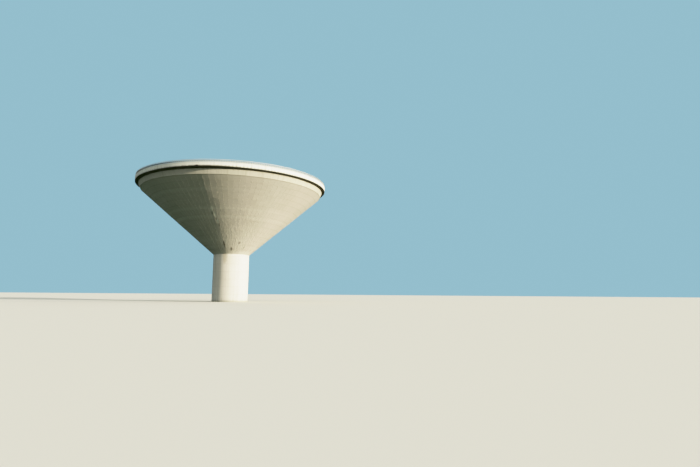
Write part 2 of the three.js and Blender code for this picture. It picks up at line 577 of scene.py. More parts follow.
@functools.cache
def surface_grain() -> bpy.types.NodeTree:
    """Makes the group of the cast surface's grain and its air holes."""
    effect = Effect("surface_grain", ("Place",), ("Scale",))
    w, given = effect.wiring, effect.given
    grain = w.noise(given["Place"], given["Scale"], detail=6.0, roughness=0.62)
    holes_to_grain, hole_depth = 2.0, 0.5
    inputs = {"Vector": given["Place"], "Scale": w.math("MULTIPLY", given["Scale"], holes_to_grain)}
    away = w.node("ShaderNodeTexVoronoi", inputs).outputs["Distance"]
    holes = w.remap(away, low=0.05, high=0.16, to_low=1.0, to_high=0.0)
    return effect.close(Grain=grain, Height=w.math("SUBTRACT", grain, w.math("MULTIPLY", holes, hole_depth)))


@functools.cache
def edge_dirt_and_shade() -> bpy.types.NodeTree:
    """Makes the group of a darker strip that runs from a level edge and breaks up in streaks: dirt at some
    edges, painted shade under overhangs at others.
    """
    effect = Effect("edge_dirt_and_shade", (), ("Along", "Edge", "Reach", "Streak"))
    w, given = effect.wiring, effect.given
    distance = w.math("ABSOLUTE", w.math("SUBTRACT", given["Along"], given["Edge"]))
    added, shortest = 0.8, 0.35
    reach = w.math("MULTIPLY", given["Reach"], w.math("MULTIPLY_ADD", given["Streak"], added, shortest))
    return effect.close(Mask=w.remap(w.math("DIVIDE", distance, reach), 0.0, 1.0, 1.0, 0.0))


@functools.cache
def single_mark() -> bpy.types.NodeTree:
    """Makes the group of one ragged mark at a place on a round wall."""
    numbers = ("Turn", "Height", "At Turn", "At Height", "Wide", "Tall")
    effect = Effect("single_mark", ("Place",), numbers)
    w, given = effect.wiring, effect.given
    across = w.math("DIVIDE", w.math("SUBTRACT", given["Turn"], given["At Turn"]), given["Wide"])
    along = w.math("DIVIDE", w.math("SUBTRACT", given["Height"], given["At Height"]), given["Tall"])
    away = w.vector_math("LENGTH", w.vector(across, along, 0.0))
    raggedness = 0.9
    edge = w.math("MULTIPLY_ADD", w.noise(given["Place"], scale=2.5), raggedness, away)
    return effect.close(Mask=w.remap(edge, low=0.8, high=1.5, to_low=1.0, to_high=0.0))


@dataclass(frozen=True)
class Clouds:
    """Cloudy patches: their size and finer layers, and the noise where they start and where they are full."""

    scale: float
    detail: float
    roughness: float
    start: float
    full: float

    def mask(self, w: Wiring, place: Socket) -> Socket:
        """Gives the share of the patches at a surface point."""
        cloud = w.noise(place, self.scale, self.detail, self.roughness)
        return w.remap(cloud, self.start, self.full)


class Along(Enum):
    """What the level joints of a cast surface are counted along."""

    HEIGHT = "Height"
    RADIUS = "Radius"


class Spot:
    """A surface point's place, share of a turn, radius, height, and what the joints are counted along."""

    def __init__(self, w: Wiring, along: Along) -> None:
        """Finds the point.

        Args:
            w: wiring of the material.
            along: what the joints are counted along.
        """
        self.place = w.node("ShaderNodeTexCoord").outputs["Object"]
        found = w.effect(round_coordinates(), Place=self.place).outputs
        self.turn, self.radius, self.height = (found[name] for name in ("Turn", "Radius", "Height"))
        self.along = found[along.value]


@dataclass(frozen=True)
class Streaks:
    """Streaks down a round wall: how many there are round it, and how quickly they change on their way."""

    count: float
    fall: float = 0.07

    def at(self, w: Wiring, spot: Spot) -> bpy.types.Node:
        """Places the group of the streaks.

        Args:
            w: wiring of the material.
            spot: the surface point.

        Returns:
            The group's node.
        """
        return w.effect(
            rain_streaks(), Place=spot.place, Radius=spot.radius, Along=spot.along, Count=self.count,
            Fall=self.fall,
        )


@dataclass(frozen=True)
class DirtAndShadeStrip:
    """A darker strip that runs from a level edge, dirt at some edges and painted shade under overhangs at
    others: where the edge is, how far it runs and how strong it is.
    """

    edge: float
    reach: float
    strength: float


@dataclass(frozen=True)
class Mark:
    """One mark on a wall: its middle, its half width in degrees, its half height and how strong it is."""

    degrees: float
    height: float
    wide: float
    tall: float
    strength: float
    colour: Colour


@dataclass(frozen=True)
class Turned:
    """Faces that look up or down, with painted shade underneath and their own colour on top: the lift of
    their normal, and how patchy that colour is.
    """

    lift_from: float
    lift_full: float
    cloud_full: float
    least: float


@dataclass(frozen=True)
class CastFinish:
    """Bare or painted concrete that was cast in panels and has weathered, with painted shade where it is
    given.
    """

    name: str
    base: Colour
    patch_colour: Colour
    stain_colour: Colour
    bays: tuple[tuple[float, float], ...]
    lift: float
    foot: float
    joint_width: float = 0.05
    tone: float = 0.05
    grain: float = 0.06
    grain_scale: float = 2.2
    patch: float = 0.3
    patches: Clouds = Clouds(0.16, 5.0, 0.62, 0.38, 0.68)
    streak: float = 0.3
    streaks: Streaks = Streaks(34.0)
    upright: float = 0.25
    level: float = 0.2
    joints_from: float = 0.25
    joints_full: float = 0.9
    drips: Streaks = Streaks(55.0, 0.12)
    along: Along = Along.HEIGHT
    roughness: float = 0.86
    rough_below: float = 0.1
    rough_range: float = 0.2
    gloss: float = 0.12
    bump: float = 0.012
    bump_strength: float = 0.5
    swell: float = 0.0
    swell_to: float = 0.0
    swell_fade: float = 6.0
    swell_least: float = 0.25
    waves: Streaks = Streaks(20.0, 1.6)
    lean: float = 0.0
    teeth: float = 0.0
    tooth_width: float = 0.26
    between_teeth: float = 0.5
    dirt_and_shade_strips: tuple[DirtAndShadeStrip, ...] = ()
    marks: tuple[Mark, ...] = ()
    # Colour of the painted shade on faces that look down.
    underside_shade: Colour | None = None
    top_colour: Colour | None = None
    underside: Turned = Turned(-0.75, -0.92, 0.6, 0.65)
    topside: Turned = Turned(0.6, 0.9, 0.8, 0.45)
    cloud_from: float = 0.2

    def bays_at(self, w: Wiring, height: Socket) -> Value:
        """Gives the number of panels round the wall at a height.

        Args:
            w: wiring of the material.
            height: the height.

        Returns:
            The number of panels.
        """
        count: Value = self.bays[0][1]
        for (_, before), (start, number) in zip(self.bays, self.bays[1:]):
            count = w.math("MULTIPLY_ADD", w.math("GREATER_THAN", height, start), number - before, count)
        return count

    def panels_at(self, w: Wiring, spot: Spot, bays: Value, joint_width: float) -> bpy.types.Node:
        """Places the group that marks out the cast panels.

        Args:
            w: wiring of the material.
            spot: the surface point.
            bays: number of panels round the wall.
            joint_width: width of the mask of a joint.

        Returns:
            The group's node.
        """
        return w.effect(
            formwork_panels(), Turn=spot.turn, Radius=spot.radius, Along=spot.along, Bays=bays,
            Lift=self.lift, Foot=self.foot, Joint_Width=joint_width,
        )

    def weathered(self, w: Wiring, spot: Spot, panels: bpy.types.Node, grain: Socket) -> Socket:
        """Gives the colour of the panels with their patches, streaks and joints.

        Args:
            w: wiring of the material.
            spot: the surface point.
            panels: node of the panels.
            grain: the surface's grain.

        Returns:
            The colour.
        """
        patch = self.patches.mask(w, spot.place)
        streak = self.streaks.at(w, spot).outputs["Streak"]
        tone = panels.outputs["Tone"]
        colour = w.blend(w.math("MULTIPLY", patch, self.patch), self.base, self.patch_colour)
        colour = w.blend(w.math("MULTIPLY", streak, self.streak), colour, self.stain_colour)
        uneven = w.math("MULTIPLY_ADD", tone, self.tone, 1.0 - self.tone / 2)
        mottled = w.math("MULTIPLY_ADD", grain, 2 * self.grain, 1.0 - self.grain)
        colour = w.vector_math("SCALE", colour, scale=w.math("MULTIPLY", uneven, mottled))
        some = w.remap(tone, self.joints_from, self.joints_full)
        upright = w.math("MULTIPLY", w.math("MULTIPLY", panels.outputs["Upright"], some), self.upright)
        level = w.math("MULTIPLY", panels.outputs["Level"], self.level)
        return w.blend(w.math("MAXIMUM", upright, level), colour, self.stain_colour)

    def marked_and_shaded(self, w: Wiring, colour: Socket, spot: Spot) -> Socket:
        """Adds the edge strips of dirt and painted shade, and the single marks, to a colour.

        Args:
            w: wiring of the material.
            colour: the colour so far.
            spot: the surface point.

        Returns:
            The colour with its strips and marks.
        """
        drip = self.drips.at(w, spot).outputs["Streak"]
        if self.teeth:
            tooth = self.panels_at(w, spot, self.teeth, self.tooth_width).outputs["Upright"]
            drip = w.math("MAXIMUM", w.math("MULTIPLY", drip, self.between_teeth), tooth)
        # Each strip darkens the colour from an edge: dirt at some edges, painted shade under overhangs at
        # others.
        for edge_strip in self.dirt_and_shade_strips:
            strip_mask = w.effect(edge_dirt_and_shade(), Along=spot.along, Edge=edge_strip.edge, Reach=edge_strip.reach, Streak=drip)
            share = w.math("MULTIPLY", strip_mask.outputs["Mask"], edge_strip.strength)
            colour = w.blend(share, colour, self.stain_colour)
        for mark in self.marks:
            found = w.effect(
                single_mark(), Place=spot.place, Turn=spot.turn, Height=spot.height,
                At_Turn=mark.degrees / 360, At_Height=mark.height, Wide=mark.wide / 360, Tall=mark.tall,
            )
            colour = w.blend(w.math("MULTIPLY", found.outputs["Mask"], mark.strength), colour, mark.colour)
        return colour

    def faced(self, w: Wiring, colour: Socket, spot: Spot) -> Socket:
        """Gives undersides a painted shade and tops their own colour.

        Args:
            w: wiring of the material.
            colour: the colour so far.
            spot: the surface point.

        Returns:
            The colour with undersides and tops.
        """
        facing = w.node("ShaderNodeNewGeometry").outputs["Normal"]
        lift = w.node("ShaderNodeSeparateXYZ", {0: facing}).outputs[2]
        cloud = w.noise(spot.place, scale=0.9, detail=5.0, roughness=0.6)
        for own, turned in ((self.underside_shade, self.underside), (self.top_colour, self.topside)):
            if own:
                patchy = w.remap(cloud, self.cloud_from, turned.cloud_full, turned.least, 1.0)
                share = w.math("MULTIPLY", w.remap(lift, turned.lift_from, turned.lift_full), patchy)
                colour = w.blend(share, colour, own)
        return colour

    def uneven(self, w: Wiring, spot: Spot, panels: bpy.types.Node, height: Socket) -> Socket:
        """Gives the normal of a surface whose panels lean, swell and have a grain.

        Args:
            w: wiring of the material.
            spot: the surface point.
            panels: node of the panels.
            height: height of the grain.

        Returns:
            The normal.
        """
        normal = w.node("ShaderNodeNewGeometry").outputs["Normal"]
        if self.lean:
            leaning = w.vector_math("SCALE", panels.outputs["Lean"], scale=self.lean)
            normal = w.vector_math("NORMALIZE", w.vector_math("ADD", normal, second=leaning))
        if self.swell:
            waves = self.waves.at(w, spot).outputs["Cloud"]
            full = self.swell_to - self.swell_fade
            strength = w.remap(spot.height, self.swell_to, full, self.swell_least, 1.0)
            normal = w.bump(waves, strength, self.swell, normal)
        return w.bump(height, self.bump_strength, self.bump, normal)

    def material(self) -> bpy.types.Material:
        """Makes the material.

        Returns:
            The material.
        """
        made, w, shader = new_material(self.name)
        spot = Spot(w, self.along)
        panels = self.panels_at(w, spot, self.bays_at(w, spot.height), self.joint_width)
        surface = w.effect(surface_grain(), Place=spot.place, Scale=self.grain_scale).outputs
        colour = self.marked_and_shaded(w, self.weathered(w, spot, panels, surface["Grain"]), spot)
        if self.underside_shade or self.top_colour:
            colour = self.faced(w, colour, spot)
        w.feed(shader.inputs["Base Color"], colour)
        rough = w.math("MULTIPLY_ADD", surface["Grain"], self.rough_range, self.roughness - self.rough_below)
        w.feed(shader.inputs["Roughness"], rough)
        shader.inputs["Specular IOR Level"].default_value = self.gloss
        w.feed(shader.inputs["Normal"], self.uneven(w, spot, panels, surface["Height"]))
        return made


@dataclass(frozen=True)
class MetalFinish:
    """Painted steel with worn and rusty patches, and painted shade that may darken one side."""

    name: str
    base: Colour
    worn_colour: Colour
    rust_colour: Colour = paint(118, 74, 46)
    worn: float = 0.5
    rust: float = 0.35
    metallic: float = 0.1
    roughness: float = 0.5
    rough_below: float = 0.1
    rough_range: float = 0.25
    gloss: float = 0.5
    grain_scale: float = 14.0
    bump: float = 0.002
    bump_strength: float = 0.3
    wear: Clouds = Clouds(3.0, 5.0, 0.65, 0.45, 0.7)
    rusting: Clouds = Clouds(7.0, 6.0, 0.7, 0.6, 0.72)
    # Painted shade on one side: how much darker, round which turn, and how far it reaches.
    side_shade: float = 0.0
    side_shade_turn: float = -0.26
    side_shade_reach: float = 0.24
    side_shade_full: float = 0.16

    def material(self) -> bpy.types.Material:
        """Makes the material.

        Returns:
            The material.
        """
        made, w, shader = new_material(self.name)
        place = w.node("ShaderNodeTexCoord").outputs["Object"]
        surface = w.effect(surface_grain(), Place=place, Scale=self.grain_scale).outputs
        worn = self.wear.mask(w, place)
        rusted = self.rusting.mask(w, place)
        colour = w.blend(w.math("MULTIPLY", worn, self.worn), self.base, self.worn_colour)
        colour = w.blend(w.math("MULTIPLY", rusted, self.rust), colour, self.rust_colour)
        # Painted shade darkens the side round the given turn.
        if self.side_shade:
            turn = w.effect(round_coordinates(), Place=place).outputs["Turn"]
            away = w.math("ABSOLUTE", w.math("SUBTRACT", turn, self.side_shade_turn))
            side = w.remap(away, self.side_shade_reach, self.side_shade_full)
            share = w.math("MULTIPLY_ADD", side, -self.side_shade, 1.0)
            colour = w.vector_math("SCALE", colour, scale=share)
        w.feed(shader.inputs["Base Color"], colour)
        rough = w.math("MULTIPLY_ADD", surface["Grain"], self.rough_range, self.roughness - self.rough_below)
        w.feed(shader.inputs["Roughness"], rough)
        shader.inputs["Metallic"].default_value = self.metallic
        shader.inputs["Specular IOR Level"].default_value = self.gloss
        w.feed(shader.inputs["Normal"], w.bump(surface["Height"], self.bump_strength, self.bump))
        return made


# Sizes read from the frame


@dataclass(frozen=True)
class TowerSizes:
    """Main sizes of the tower, which its parts share."""

    floor_top: float
    shaft_radius: float
    shaft_inner: float
    neck: float
    cone_top: float
    cone_top_radius: float
    beam_top_radius: float
    soffit_root: float
    walkway: float
    slab_edge: float
    soffit_edge: float
    rim: float
    parapet_top: float
    rail_top: float
    dome_radius: float
    dome_top: float
    dome_edge: float

    @classmethod
    def from_frame(cls) -> "TowerSizes":
        """Reads the sizes from the boxes of the CAD nodes."""
        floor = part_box("shaft_floor")[1]
        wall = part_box("shaft_wall_1")[1]
        cone_low, cone_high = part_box("cone_wall_1")
        slab_low, slab_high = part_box("walkway_slab_1")
        parapet_low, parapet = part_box("parapet_1")
        dome_low, dome_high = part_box("roof_dome_1")
        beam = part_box("ring_beam_1")[1]
        slope = (parapet_low.z - slab_low.z) / (slab_high.x - beam.x)
        return cls(
            floor_top=floor.z,
            shaft_radius=wall.x,
            shaft_inner=floor.x,
            neck=cone_low.z,
            cone_top=cone_high.z,
            cone_top_radius=-cone_low.y,
            beam_top_radius=beam.x,
            soffit_root=slab_low.z,
            walkway=slab_high.z,
            slab_edge=slab_high.x,
            soffit_edge=slab_low.z + slope * (parapet.x - beam.x),
            rim=parapet.x,
            parapet_top=parapet.z,
            rail_top=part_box("railing_1")[1].z,
            dome_radius=dome_high.x,
            dome_top=dome_high.z,
            dome_edge=dome_low.z,
        )


# Parts of the tower


@dataclass(frozen=True)
class Cone:
    """The tank's inverted cone, cast in lifts of panels."""

    sizes: TowerSizes
    lifts: int = 15
    wall_at_neck: float = 1.2
    wall_at_top: float = 0.33
    groove: float = 0.01
    relief: float = -0.007
    wave: float = 0.03
    waves_per_metre: float = 0.45
    true_share: float = 0.02
    wide_from: int = 2
    fine_from: int = 6

    def radius_at(self, share: float) -> float:
        """Gives the outer radius at a share of the cone's height."""
        return self.sizes.shaft_radius + share * (self.sizes.cone_top_radius - self.sizes.shaft_radius)

    def height_at(self, share: float) -> float:
        """Gives the height at a share of the cone's height."""
        return self.sizes.neck + share * (self.sizes.cone_top - self.sizes.neck)

    def panel_width(self, lift: int) -> int:
        """Gives the number of facets in a panel of one lift."""
        if lift < self.wide_from:
            return 8
        return 4 if lift < self.fine_from else 2

    def finish(self) -> CastFinish:
        """Describes the warm, board-marked concrete."""
        second = self.height_at(self.wide_from / self.lifts)
        third = self.height_at(self.fine_from / self.lifts)
        dark = paint(84, 78, 58)
        pale = paint(240, 236, 224)
        # Colour of the painted highlights near the edge of the sun's light.
        painted_highlight = paint(255, 253, 240)
        return CastFinish(
            name="cone_concrete",
            base=paint(222, 215, 204),
            patch_colour=paint(208, 202, 186),
            stain_colour=paint(168, 160, 138),
            bays=((0.0, 26.0), (second, 52.0), (third, 104.0)),
            lift=(self.sizes.cone_top - self.sizes.neck) / self.lifts,
            foot=self.sizes.neck,
            joint_width=0.08,
            tone=0.03,
            patch=0.35,
            streak=0.02,
            streaks=Streaks(60.0, 0.16),
            upright=0.0,
            level=0.28,
            swell=0.055,
            swell_to=19.0,
            lean=0.006,
            # The darker strip under the ring beam is painted shade, broken up by drips.
            dirt_and_shade_strips=(DirtAndShadeStrip(self.sizes.cone_top, 0.4, 0.1),),
            marks=(
                Mark(25.0, self.sizes.neck, 90.0, 0.8, 0.6, pale),
                Mark(12.0, self.sizes.neck + 2.5, 40.0, 2.6, 0.3, pale),
                Mark(-1.0, 11.2, 2.0, 0.9, 0.95, dark),
                Mark(3.5, 11.5, 2.4, 1.1, 0.6, pale),
                Mark(13.5, 10.4, 2.8, 0.45, 0.75, dark),
                Mark(28.5, 11.5, 2.8, 0.3, 0.6, dark),
                Mark(42.0, 10.75, 2.8, 0.3, 0.5, dark),
                Mark(-0.8, 14.45, 0.8, 0.3, 0.6, dark),
                # Pale and dark flecks near the edge of the sun's light are painted highlights and painted
                # shade, where an uneven surface would catch or lose the light.
                Mark(-4.0, 17.05, 1.6, 0.5, 1.0, painted_highlight),
                Mark(-2.9, 16.1, 1.4, 0.6, 1.0, painted_highlight),
                Mark(-1.6, 15.1, 1.4, 0.5, 1.0, painted_highlight),
                Mark(-4.6, 16.35, 1.2, 0.35, 0.4, dark),
                Mark(-2.6, 15.45, 1.2, 0.3, 0.45, dark),
                *(Mark(0.0, height, 400.0, 0.3, 0.18, pale) for height in (10.8, 15.85, 17.15)),
                *(Mark(-36.0, height, 84.0, 0.3, 0.3, pale) for height in (12.0, 15.85, 17.15, 20.0)),
            ),
        )

    def undulate(self, bm: bmesh.types.BMesh) -> None:
        """Swells the outer side in and out a little, but for its ends: no wall of this size is quite true.

        Args:
            bm: mesh of the whole cone.
        """
        s = self.sizes
        for vert in bm.verts:
            share = (vert.co.z - s.neck) / (s.cone_top - s.neck)
            is_outer = vert.co.xy.length > self.radius_at(share) - self.wall_at_top / 2
            if is_outer and self.true_share < share < 1.0 - self.true_share:
                out = vert.co.xy.normalized().to_3d()
                vert.co += out * self.wave * noise.noise(vert.co * self.waves_per_metre)

    def build(self) -> None:
        """Builds the cone as one closed shell."""
        shares = [index / self.lifts for index in range(self.lifts + 1)]
        outer = [(self.radius_at(s), self.height_at(s)) for s in shares]
        thinning = self.wall_at_neck - self.wall_at_top
        inner = [
            (self.radius_at(s) - self.wall_at_neck + s * thinning, self.height_at(s)) for s in (1.0, 0.5, 0.0)
        ]
        bm = bmesh.new()
        spin_sector(bm, outer + inner, 8, ROUND_STEPS)
        for lift in range(self.lifts):
            low, high = self.height_at(lift / self.lifts), self.height_at((lift + 1) / self.lifts)
            edge = self.radius_at((lift + 0.5) / self.lifts)

            def belongs(middle: Vector, low: float = low, high: float = high, edge: float = edge) -> bool:
                """Says whether a face is in this lift's outer side."""
                return low < middle.z < high and abs(middle.xy.length - edge) < self.wall_at_top / 3

            raise_panels(bm, belongs, self.panel_width(lift), self.groove, self.relief)
        repeat_round(bm, ROUND_STEPS // 8)
        self.undulate(bm)
        finish_piece("cone_shell", bm, self.finish().material(), numbered("cone_wall", 8))


@dataclass(frozen=True)
class RingBeam:
    """The cream band that tops the cone."""

    sizes: TowerSizes
    wall: float = 0.33
    proud: float = 0.03
    chamfer: float = 0.02
    bays: int = 52
    groove: float = 0.012
    relief: float = 0.01
    margin: float = 0.2

    def finish(self) -> CastFinish:
        """Describes the cream paint on the beam, with painted shade under the soffit."""
        return CastFinish(
            name="band_paint",
            base=paint(204, 200, 188),
            patch_colour=paint(186, 183, 164),
            stain_colour=paint(138, 132, 108),
            bays=((0.0, float(self.bays)),),
            lift=self.sizes.soffit_root - self.sizes.cone_top,
            foot=self.sizes.cone_top,
            patch=0.35,
            streak=0.26,
            streaks=Streaks(46.0),
            upright=0.5,
            level=0.15,
            roughness=0.8,
            # The upper strip, under the soffit, is painted shade; the thin lower one darkens the band towards
            # its foot.
            dirt_and_shade_strips=(DirtAndShadeStrip(self.sizes.soffit_root, 0.35, 0.6), DirtAndShadeStrip(self.sizes.cone_top, 0.12, 0.2)),
        )

    def build(self) -> None:
        """Builds the beam as one closed ring."""
        s = self.sizes
        low, high = s.cone_top_radius, s.beam_top_radius
        profile = [
            (low - self.wall, s.cone_top + GAP),
            (low, s.cone_top + GAP),
            (low + self.proud, s.cone_top + self.chamfer),
            (high + self.proud, s.soffit_root - self.chamfer),
            (high, s.soffit_root - GAP),
            (high - self.wall, s.soffit_root - GAP),
        ]
        bm = bmesh.new()
        width = ROUND_STEPS // self.bays
        spin_sector(bm, profile, width, ROUND_STEPS)

        def belongs(middle: Vector) -> bool:
            """Says whether a face is in the beam's outer side."""
            is_between = s.cone_top + self.margin < middle.z < s.soffit_root - self.margin
            return is_between and middle.xy.length > (low + high) / 2

        raise_panels(bm, belongs, width, self.groove, self.relief)
        repeat_round(bm, self.bays)
        finish_piece("ring_beam", bm, self.finish().material(), numbered("ring_beam", 4))


@dataclass(frozen=True)
class Walkway:
    """The haunched slab that overhangs the beam, with its parapet and a spout at the parapet's foot."""

    sizes: TowerSizes
    slab_inner: float = 17.25
    bays: int = 96
    drip_back: float = 0.16
    drip_width: float = 0.05
    drip_depth: float = 0.03
    chamfer: float = 0.015
    coping_height: float = 0.1
    coping_proud: float = 0.015
    groove: float = 0.012
    relief: float = 0.008
    margin: float = 0.1
    face_within: float = 0.05
    spout_angle: float = -5.0
    spout_half: float = 0.25
    spout_reach: float = 0.22
    spout_below: float = 0.03
    spout_above: float = 0.2
    spout_wall: float = 0.02
    spout_depth: float = 0.2

    def slab_finish(self) -> CastFinish:
        """Describes the worn deck, and the soffit darkened by painted shade."""
        return CastFinish(
            name="walkway_concrete",
            base=paint(176, 172, 156),
            patch_colour=paint(150, 148, 132),
            stain_colour=paint(96, 96, 82),
            bays=((0.0, float(self.bays)),),
            lift=0.6,
            foot=self.slab_inner,
            along=Along.RADIUS,
            level=0.12,
            upright=0.3,
            # The soffit's dark colour is painted shade.
            underside_shade=paint(124, 111, 82),
            top_colour=paint(158, 155, 142),
        )

    def parapet_finish(self) -> CastFinish:
        """Describes the white paint on the parapet, with dark drips at its joints, and painted shade under
        its coping and on its underside.
        """
        s = self.sizes
        return CastFinish(
            name="parapet_paint",
            base=paint(238, 238, 230),
            patch_colour=paint(222, 222, 210),
            stain_colour=paint(92, 92, 80),
            bays=((0.0, float(self.bays)),),
            lift=s.parapet_top - self.coping_height - s.soffit_edge,
            foot=s.soffit_edge,
            joint_width=0.07,
            patch=0.35,
            streak=0.2,
            streaks=Streaks(72.0, 0.3),
            upright=0.55,
            level=0.1,
            roughness=0.75,
            teeth=192.0,
            # The strip at the parapet's foot is dark drips; the narrow one under the coping is painted shade.
            dirt_and_shade_strips=(DirtAndShadeStrip(s.soffit_edge, 0.34, 0.8), DirtAndShadeStrip(s.parapet_top - self.coping_height, 0.08, 0.15)),
            marks=(Mark(-7.0, s.soffit_edge, 32.0, 0.27, 0.9, paint(66, 64, 52)),),
            # The underside's dark colour is painted shade, as on the soffit.
            underside_shade=paint(112, 101, 74),
            top_colour=paint(204, 203, 192),
        )

    def soffit(self, radius: float) -> float:
        """Gives the height of the overhang's underside at a radius."""
        s = self.sizes
        share = (radius - s.beam_top_radius) / (s.rim - s.beam_top_radius)
        return s.soffit_root + share * (s.soffit_edge - s.soffit_root)

    def build_slab(self) -> None:
        """Builds the slab, with a drip groove under its edge."""
        s = self.sizes
        back = s.slab_edge - self.drip_back
        front = back + self.drip_width
        profile = [
            (self.slab_inner, s.soffit_root),
            (s.beam_top_radius, s.soffit_root),
            (back, self.soffit(back)),
            (back, self.soffit(back) + self.drip_depth),
            (front, self.soffit(front) + self.drip_depth),
            (front, self.soffit(front)),
            (s.slab_edge, self.soffit(s.slab_edge)),
            (s.slab_edge, s.walkway),
            (self.slab_inner, s.walkway),
        ]
        bm = bmesh.new()
        spin_profile(bm, profile, RIM_STEPS)
        nodes = numbered("walkway_slab", 4)
        finish_piece("walkway_slab", bm, self.slab_finish().material(), nodes)

    def build_parapet(self) -> None:
        """Builds the parapet, with a coping and a groove at each joint."""
        s = self.sizes
        inner, outer = s.slab_edge + GAP, s.rim
        under = s.parapet_top - self.coping_height
        nose = outer + self.coping_proud
        profile = [
            (inner, self.soffit(inner)),
            (outer - self.chamfer, s.soffit_edge),
            (outer, s.soffit_edge + self.chamfer),
            (outer, under),
            (nose, under + self.chamfer),
            (nose, s.parapet_top - self.chamfer),
            (nose - self.chamfer, s.parapet_top),
            (inner, s.parapet_top),
        ]
        bm = bmesh.new()
        width = RIM_STEPS // self.bays
        spin_sector(bm, profile, width, RIM_STEPS)

        def belongs(middle: Vector) -> bool:
            """Says whether a face is in the parapet's outer side."""
            is_between = s.soffit_edge + self.margin < middle.z < under - self.margin
            return is_between and middle.xy.length > outer - self.face_within

        raise_panels(bm, belongs, width, self.groove, self.relief)
        repeat_round(bm, self.bays)
        finish_piece("parapet", bm, self.parapet_finish().material(), numbered("parapet", 4))

    def build_spout(self) -> None:
        """Builds the open spout that drains the walkway."""
        s = self.sizes
        bm = bmesh.new()
        low = (-self.spout_half, -s.rim - self.spout_reach, s.soffit_edge - self.spout_below)
        add_block(bm, low, (self.spout_half, -s.rim + self.spout_wall, s.soffit_edge + self.spout_above))
        bm.normal_update()
        mouth = [f for f in bm.faces if f.normal.y < -FACING]
        bmesh.ops.inset_region(
            bm, faces=mouth, thickness=self.spout_wall, use_boundary=True, use_even_offset=True
        )
        bmesh.ops.translate(bm, verts=mouth[0].verts, vec=(0.0, self.spout_depth, 0.0))
        turn = Matrix.Rotation(math.radians(self.spout_angle), 3, "Z")
        bmesh.ops.rotate(bm, cent=Vector(), matrix=turn, verts=bm.verts)
        steel = MetalFinish("spout_steel", paint(64, 62, 54), paint(84, 78, 64))
        finish_piece("drain_spout", bm, steel.material())

    def build(self) -> None:
        """Builds the slab, the parapet and the spout."""
        self.build_slab()
        self.build_parapet()
        self.build_spout()


@dataclass(frozen=True)
class Railing:
    """The low railing on the parapet: posts behind a strapped edge board, under a flat pale rail."""

    sizes: TowerSizes
    posts: int = 288
    parapet_wall: float = 0.18
    post_width: float = 0.05
    post_depth: float = 0.06
    rail_width: float = 0.08
    rail_height: float = 0.04
    board_depth: float = 0.03
    board_height: float = 0.22
    board_above_parapet: float = 0.06
    strap_width: float = 0.14
    strap_depth: float = 0.01
    bevel: float = 0.005
    seat: float = 0.005

    @property
    def middle(self) -> float:
        """Radius of the circle that the posts stand on."""
        return self.sizes.rim - self.parapet_wall / 2

    @property
    def face(self) -> float:
        """Radius of the board's outer face."""
        return self.middle + self.post_depth / 2 + self.board_depth / 2

    def hoop(self, inner: float, outer: float, low: float, high: float) -> bmesh.types.BMesh:
        """Makes a ring with a rectangular section and bevelled top edges.

        Args:
            inner: its inner radius.
            outer: its outer radius.
            low: height of its underside.
            high: height of its top.

        Returns:
            Its mesh.
        """
        bm = bmesh.new()
        edge = high - self.bevel
        profile = [
            (inner, low), (outer, low), (outer, edge), (outer - self.bevel, high), (inner + self.bevel, high),
            (inner, edge),
        ]
        spin_profile(bm, profile, RIM_STEPS)
        return bm

    def ring_of(self, low: Sequence[float], high: Sequence[float], bevel: float = 0.0) -> bmesh.types.BMesh:
        """Repeats a block at every post.

        Args:
            low: lowest corner of the block at the front.
            high: its highest corner.
            bevel: width of its bevels.

        Returns:
            The mesh of all blocks.
        """
        row = bmesh.new()
        add_block(row, low, high, bevel)
        turn = Matrix.Rotation(FULL_TURN / self.posts / 2, 3, "Z")
        bmesh.ops.rotate(row, cent=Vector(), matrix=turn, verts=row.verts)
        repeat_round(row, self.posts)
        return row

    def flat_paint(self, name: str, base: Colour, worn: Colour, side_shade: float) -> bpy.types.Material:
        """Makes a dull paint with painted shade that darkens one side.

        Args:
            name: name of the paint.
            base: its colour.
            worn: its colour where it is worn.
            side_shade: how much darker its painted shade makes one side.

        Returns:
            The material.
        """
        finish = MetalFinish(
            name, base, worn, worn=0.4, rust=0.15, metallic=0.0, roughness=0.7, gloss=0.1,
            side_shade=side_shade,
        )
        return finish.material()

    def build_board(self) -> None:
        """Builds the edge board with the posts behind it."""
        s = self.sizes
        foot = s.parapet_top + self.board_above_parapet
        bm = self.hoop(self.face - self.board_depth, self.face, foot, foot + self.board_height)
        half = self.post_width / 2
        low = (-half, -self.middle - self.post_depth / 2, s.parapet_top)
        high = (half, -self.middle + self.post_depth / 2, s.rail_top - self.rail_height + self.seat)
        row = self.ring_of(low, high, self.bevel)
        posts = mesh_of("row", row)
        bm.from_mesh(posts)
        bpy.data.meshes.remove(posts)
        # Painted shade darkens the board on its left side.
        steel = self.flat_paint("rail_paint", paint(129, 140, 149), paint(108, 117, 121), 0.56)
        finish_piece("railing", bm, steel, numbered("railing", 4))

    def build_straps(self) -> None:
        """Builds the flat pale straps that hold the board to the posts."""
        foot = self.sizes.parapet_top + self.board_above_parapet
        half = self.strap_width / 2
        low = (-half, -self.face - self.strap_depth, foot + self.seat)
        bm = self.ring_of(low, (half, -self.face + self.seat, foot + self.board_height - self.seat))
        # Painted shade darkens the straps on the left side.
        steel = self.flat_paint("strap_paint", paint(212, 212, 204), paint(176, 178, 170), 0.6)
        finish_piece("railing_straps", bm, steel)

    def build_rail(self) -> None:
        """Builds the rail on the posts."""
        s = self.sizes
        half = self.rail_width / 2
        bm = self.hoop(self.middle - half, self.middle + half, s.rail_top - self.rail_height, s.rail_top)
        steel = MetalFinish("rail_cap_paint", paint(224, 224, 216), paint(188, 188, 178), rust=0.15)
        finish_piece("railing_cap", bm, steel.material())

    def build(self) -> None:
        """Builds the board with its posts, the straps and the rail."""
        self.build_board()
        self.build_straps()
        self.build_rail()


